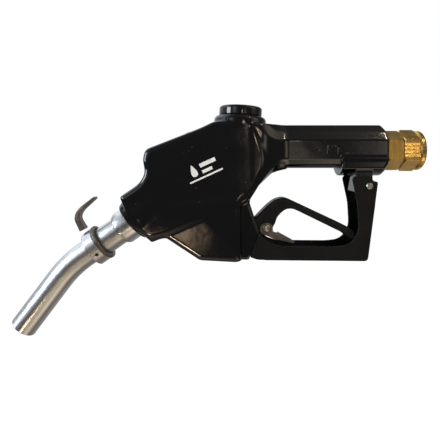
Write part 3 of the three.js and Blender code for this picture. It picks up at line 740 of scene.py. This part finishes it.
# ---- hold-open clip -------------------------------------------------------
CLIP = rounded([(-172.7, -86.5, 2), (-179.4, -82.7, 3), (-186.3, -85.6, 3), (-188.6, -91.4, 2.8),
                (-185.9, -96.3, 2), (-178.4, -98.8), (-171.9, -101.8), (-149, -107.2, 0.8),
                (-147.4, -105.3, 0.8), (-165.4, -95.1), (-172.7, -93.5, 2)], 6)


def clip_field(x, y, z):
    face = extruded(sd_poly(x, z, CLIP), y + 12.15, 0.95, 0.5)
    flange = np.array([(-166.5, -94.6), (-149.6, -103.8), (-150.5, -105.5), (-167.4, -96.3)], float)
    turned = extruded(sd_poly(x, z, flange), y + 6.6, 5.1, 0.4)
    f = smin(face, turned, 1.2)
    return np.maximum(f, 3.2 - reach(x, z, RIVET))


field_piece("clip_plate", clip_field, (-189, -14, -109), (-143, 0, -80), 0.45, "pewter", "clip",
            ["hold_open_clip"])
rivet = lathe_mesh("rivet", soften([(0, -13.9), (1.2, -14.1, 0.3), (1.9, -14.5, 0.4),
                                    (3.2, -14.4, 0.6),
                                    (4.4, -13.5, 0.3), (2.9, -13.4), (2.9, 11), (4.4, 11, 0.2),
                                    (3.6, 12.4, 0.8), (0, 12.4)], 0.1), at3(RIVET), ACROSS, 48)
piece("clip_pin", rivet, "zinc", "trigger", ["clip_rivet"])


# ---- guard ----------------------------------------------------------------
GUARD = rounded([(-199.5, -121, 2), (-188.6, -93.2, 1.2), (-184.6, -98.4, 1), (-177, -104.8, 4),
                 (-164.6, -108.7, 4), (-103.8, -109.1, 6), (-87, -107, 9), (-76.4, -92, 9),
                 (-78, -62, 6), (-84.3, -32.8, 2), (-81.8, -29.6, 1.4), (-62, -29.6, 1.2),
                 (-61, -34.8, 2), (-55, -36.2, 2), (-66.9, -125.2, 4), (-190.5, -124, 4)], 5)
WEB = rounded([(-182, -121.2), (-69.7, -122.4, 2), (-61.5, -60), (-58.6, -60),
               (-66.9, -125.2, 4), (-182, -124.08)], 5)


def guard_field(x, y, z):
    a = np.abs(y)
    d = sd_poly(x, z, GUARD)
    f = extruded(d, a - 20.65, 1.35, 0.7)
    web = extruded(sd_poly(x, z, WEB), y, 21.2, 0.6)
    f = smin(f, web, 1.6)
    f = np.maximum(f, 2.8 - reach(x, z, GUARD_SCREW))
    return smax(f, 4 - reach(x, z, EAR_NOTCH), 0.6)


field_piece("guard_shell", guard_field, (-202, -24, -128), (-52, 24, -27),
            cell(0.8), "guard", "casing", ["lever_guard"])
screw = lathe_mesh("ear_screw", soften([(0, -23.6), (1.4, -23.6, 0.2), (1.4, -24.9, 0.2),
                                        (2.4, -24.9, 0.6),
                                        (4, -23.6, 0.8), (4, -22.2, 0.2), (2.5, -22.2), (2.5, 26.4),
                                        (0, 26.4)], 0.1), at3(GUARD_SCREW), ACROSS, 40)
piece("ear_screw", screw, "zinc", "casing", ["guard_screw"])


# ---- springs, copied from the CAD nodes ----------------------------------
def live_spring(node):
    """Stands for a CAD spring: a copy of its mesh, with its own data, on the casing."""
    mesh = frame["nodes"][node].data.copy()
    mesh.materials.clear()
    mesh.transform(Matrix.Scale(1 / MM, 4))
    obj = piece(node.replace("_spring", "_coil"), mesh, "wire", "casing", [node])
    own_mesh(obj)


live_spring("poppet_spring")
live_spring("check_spring")
live_spring("plunger_spring")
live_spring("diaphragm_spring")


# ---- edges of the machined CAD parts --------------------------------------
def soft_edges(node, width, angle=28, segments=2):
    """Small rounded edges on a CAD node, as a modifier, with smooth shading between them."""
    obj = frame["nodes"][node]
    bevel = obj.modifiers.new("edges", "BEVEL")
    bevel.width = width * MM
    bevel.segments = segments
    bevel.limit_method = "ANGLE"
    bevel.angle_limit = math.radians(angle)
    bevel.harden_normals = True
    obj.data.polygons.foreach_set("use_smooth", [True] * len(obj.data.polygons))
    obj.data.set_sharp_from_angle(angle=math.radians(angle))


# The hook's set screw takes the dark lever coating so that it reads as the shaded hole it sits in:
# painted shade.
frame["nodes"]["hook_set_screw"].data.materials[0] = MAT["lever"]
for node, width in (("swivel_nut", 0.35), ("swivel_adapter", 0.35), ("guard_nut", 0.3),
                    ("diaphragm_cover", 0.5), ("hold_open_rack", 0.3), ("latch_plunger", 0.3)):
    soft_edges(node, width)
for node in ("cover_screw_1", "cover_screw_2", "cover_screw_3", "cover_screw_4", "fulcrum_pin"):
    soft_edges(node, 0.15)


# ---- print on the side ----------------------------------------------------
def on_side(x, z, lift):
    """Y of the casting's near side under a point, a little outside it."""
    lo, hi = np.full(x.shape, -36.0), np.full(x.shape, -20.0)
    for _ in range(24):
        mid = (lo + hi) / 2
        out = body_field(x, mid, z) > 0
        lo, hi = np.where(out, mid, lo), np.where(out, hi, mid)
    return lo - lift


def decal(name, outline, origin, angle):
    """A thin print that follows the side: outline is in its own plane, turned by angle."""
    a = math.radians(angle)
    pts = rounded(outline, 8)
    bm = bmesh.new()
    face = bm.faces.new([bm.verts.new((u, 0, v)) for u, v in pts])
    bmesh.ops.triangulate(bm, faces=[face])
    bmesh.ops.subdivide_edges(bm, edges=[e for e in bm.edges if e.calc_length() > 3], cuts=3)
    made = bmesh.ops.extrude_face_region(bm, geom=list(bm.faces))
    top = {g for g in made["geom"] if isinstance(g, bmesh.types.BMVert)}
    u = np.array([v.co.x for v in bm.verts])
    w = np.array([v.co.z for v in bm.verts])
    x = origin[0] + u * math.cos(a) - w * math.sin(a)
    z = origin[1] + u * math.sin(a) + w * math.cos(a)
    lift = np.array([0.16 if v in top else 0.06 for v in bm.verts])
    y = on_side(x, z, lift)
    for v, px, py, pz in zip(bm.verts, x, y, z):
        v.co = (px, py, pz)
    return piece(name, mesh_from(bm, name), "print", "casing")


# A drop, two bars beside it and a long rule under them.
PRINT_AT = (-265.6, -37.2)
PRINT_TILT = 24.8
decal("print_rule", [(-0.5, -1), (39, -1), (39, 0.9), (-0.5, 0.9)], PRINT_AT, PRINT_TILT)
decal("print_drop", [(5.5, 4, 3), (11.5, 4, 3), (12.5, 9, 3), (8.5, 18, 0.4), (4.5, 9, 3)],
      PRINT_AT, PRINT_TILT)
decal("print_bar_long", [(17, 11), (36, 11), (36, 15.4), (17, 15.4)], PRINT_AT, PRINT_TILT)
decal("print_bar_short", [(17, 4), (29, 4), (29, 7.6), (17, 7.6)], PRINT_AT, PRINT_TILT)


# ---- raised marks on the handle panel -------------------------------------
def raised(name, outline, at):
    points = rounded([(x + at[0], z + at[1], r) for x, z, r in outline], 5)
    piece(name, slab_mesh(name, points, -21.3, -20.2, 0.45, 3), "gloss", "casing")


raised("mark_dash", [(0, 0, 0.8), (11, 0, 0.8), (11, 2, 0.8), (0, 2, 0.8)], (-126.5, -1.2))
for k, (width, height) in enumerate(((3, 10.5), (9, 2.4), (3, 10.5), (9, 2.4))):
    raised("mark_bar_%d" % (k + 1),
           [(0, 0, 0.9), (width, 0, 0.9), (width, height, 0.9), (0, height, 0.9)],
           (-112.5 + 6 * k + (3 if k == 3 else 0), -5 + (8 if k == 1 else 0)))


# ---- stage ----------------------------------------------------------------
bm = bmesh.new()
bmesh.ops.create_grid(bm, x_segments=2, y_segments=2, size=6)
floor_mesh = bpy.data.meshes.new("floor")
bm.to_mesh(floor_mesh)
bm.free()
floor = bpy.data.objects.new("floor", floor_mesh)
floor.location = (-0.24, 0, -0.34)
scene.collection.objects.link(floor)
floor_mat = Shader("floor_white", (0.15, 0.15, 0.15), 0.9, Emission_Color=(1, 1, 1, 1),
                   Emission_Strength=0.94)
floor_mesh.materials.append(floor_mat.mat)
floor.visible_glossy = False
floor.visible_diffuse = False


def area(name, place, target, size, power, color):
    light = bpy.data.lights.new(name, "AREA")
    light.shape = "RECTANGLE"
    light.size, light.size_y = size
    light.energy = power
    light.color = color
    obj = bpy.data.objects.new(name, light)
    obj.location = place
    obj.rotation_euler = (Vector(target) - Vector(place)).to_track_quat("-Z", "Y").to_euler()
    scene.collection.objects.link(obj)
    return obj


MIDDLE = (-0.26, 0, -0.05)
area("window", (-1.3, -0.45, 0.16), MIDDLE, (0.46, 0.46), 5.2, (0.80, 0.90, 1.0))
sky = area("cool_top", (-0.8, -0.3, 1.0), MIDDLE, (0.4, 0.5), 7, (0.86, 0.93, 1.0))
sky.visible_glossy = False
lamp = area("warm_lamp", (0.1, -0.9, 0.7), MIDDLE, (0.3, 0.3), 10, (1.0, 0.94, 0.86))
lamp.visible_glossy = False
area("warm_low", (-0.64, -0.76, -0.68), MIDDLE, (0.14, 0.14), 1.6, (1.0, 0.8, 0.55))
area("warm_spot", (0.35, -0.6, 0.75), MIDDLE, (0.05, 0.12), 0.5, (1.0, 0.86, 0.66))

# The camera sees a white room; the object is lit by a dim one with a few soft bright patches.
world = bpy.data.worlds.new("studio")
scene.world = world
world.use_nodes = True
tree = world.node_tree
background = tree.nodes["Background"]
coords = tree.nodes.new("ShaderNodeTexCoord")


def world_math(kind, a, b, node_type="ShaderNodeMath"):
    n = tree.nodes.new(node_type)
    n.operation = kind
    for i, value in enumerate((a, b)):
        if isinstance(value, (int, float, tuple)):
            n.inputs[i].default_value = value
        else:
            tree.links.new(value, n.inputs[i])
    return n


# Each patch: direction it lies in, sharpness, strength, tint.
PATCHES = [((-0.80, 0.1, 0.60), 14, 1.0, (0.82, 0.91, 1.0)),
           ((-0.45, 0.70, 0.55), 5, 0.8, (0.86, 0.94, 1.0)),
           ((-0.2, 0.95, 0.2), 4, 0.5, (0.94, 0.97, 1.0)),
           ((-0.25, -0.3, -0.93), 9, 0.5, (1.0, 0.8, 0.56)),
           ((0.42, -0.5, -0.75), 40, 1.5, (1.0, 0.84, 0.62)),
           ((0.85, -0.25, 0.35), 30, 0.9, (1.0, 0.86, 0.66)),
           ((0.15, -0.985, -0.02), 700, 1.0, (1.0, 0.86, 0.66)),
           ((0.135, -0.985, 0.11), 2500, 9, (1.0, 0.8, 0.52)),
           ((0.15, -0.85, -0.5), 260, 4, (1.0, 0.84, 0.6)),
           ((-0.235, -0.93, -0.29), 1300, 2.6, (1.0, 0.72, 0.44)),
           ((0.55, 0.7, -0.45), 6, 0.45, (1.0, 0.96, 0.92)),
           ((0.6, -0.45, 0.8), 20, 0.45, (1.0, 0.88, 0.7)),
           ((0.41, -0.91, 0.04), 260, 1.0, (1.0, 0.88, 0.7)),
           ((-0.55, -0.8, 0.25), 60, 0.8, (0.95, 0.97, 1.0))]
light_sum = (0.05, 0.05, 0.053)
for toward, power, strength, tint in PATCHES:
    length = math.sqrt(sum(c * c for c in toward))
    toward = tuple(c / length for c in toward)
    dot = world_math("DOT_PRODUCT", coords.outputs["Generated"], toward, "ShaderNodeVectorMath")
    lobe = world_math("POWER", world_math("MAXIMUM", dot.outputs["Value"], 0.0).outputs[0], power)
    scaled = tree.nodes.new("ShaderNodeVectorMath")
    scaled.operation = "SCALE"
    scaled.inputs[0].default_value = tuple(strength * c for c in tint)
    tree.links.new(lobe.outputs[0], scaled.inputs["Scale"])
    light_sum = world_math("ADD", light_sum, scaled.outputs[0], "ShaderNodeVectorMath").outputs[0]
path = tree.nodes.new("ShaderNodeLightPath")
seen = tree.nodes.new("ShaderNodeMix")
seen.data_type = "RGBA"
tree.links.new(path.outputs["Is Camera Ray"], seen.inputs[0])
tree.links.new(light_sum, seen.inputs[6])
seen.inputs[7].default_value = (1, 1, 1, 1)
tree.links.new(seen.outputs[2], background.inputs["Color"])

cam_data = bpy.data.cameras.new("camera")
SENSOR = 36
VIEW_FROM = 506  # camera to the middle plane, in millimetres
VIEW_WIDTH = 440 * 1.176  # what the frame's width shows of that plane, in millimetres
cam_data.sensor_width = SENSOR
cam_data.lens = SENSOR * VIEW_FROM / VIEW_WIDTH
cam_data.shift_x = -5 / 440
cam_data.shift_y = -55 / 440
camera = bpy.data.objects.new("camera", cam_data)
camera.location = (-0.2276, -VIEW_FROM * MM, -0.01705)
camera.rotation_euler = (math.radians(90), 0, 0)
scene.collection.objects.link(camera)
scene.camera = camera
scene.view_settings.view_transform = "Standard"
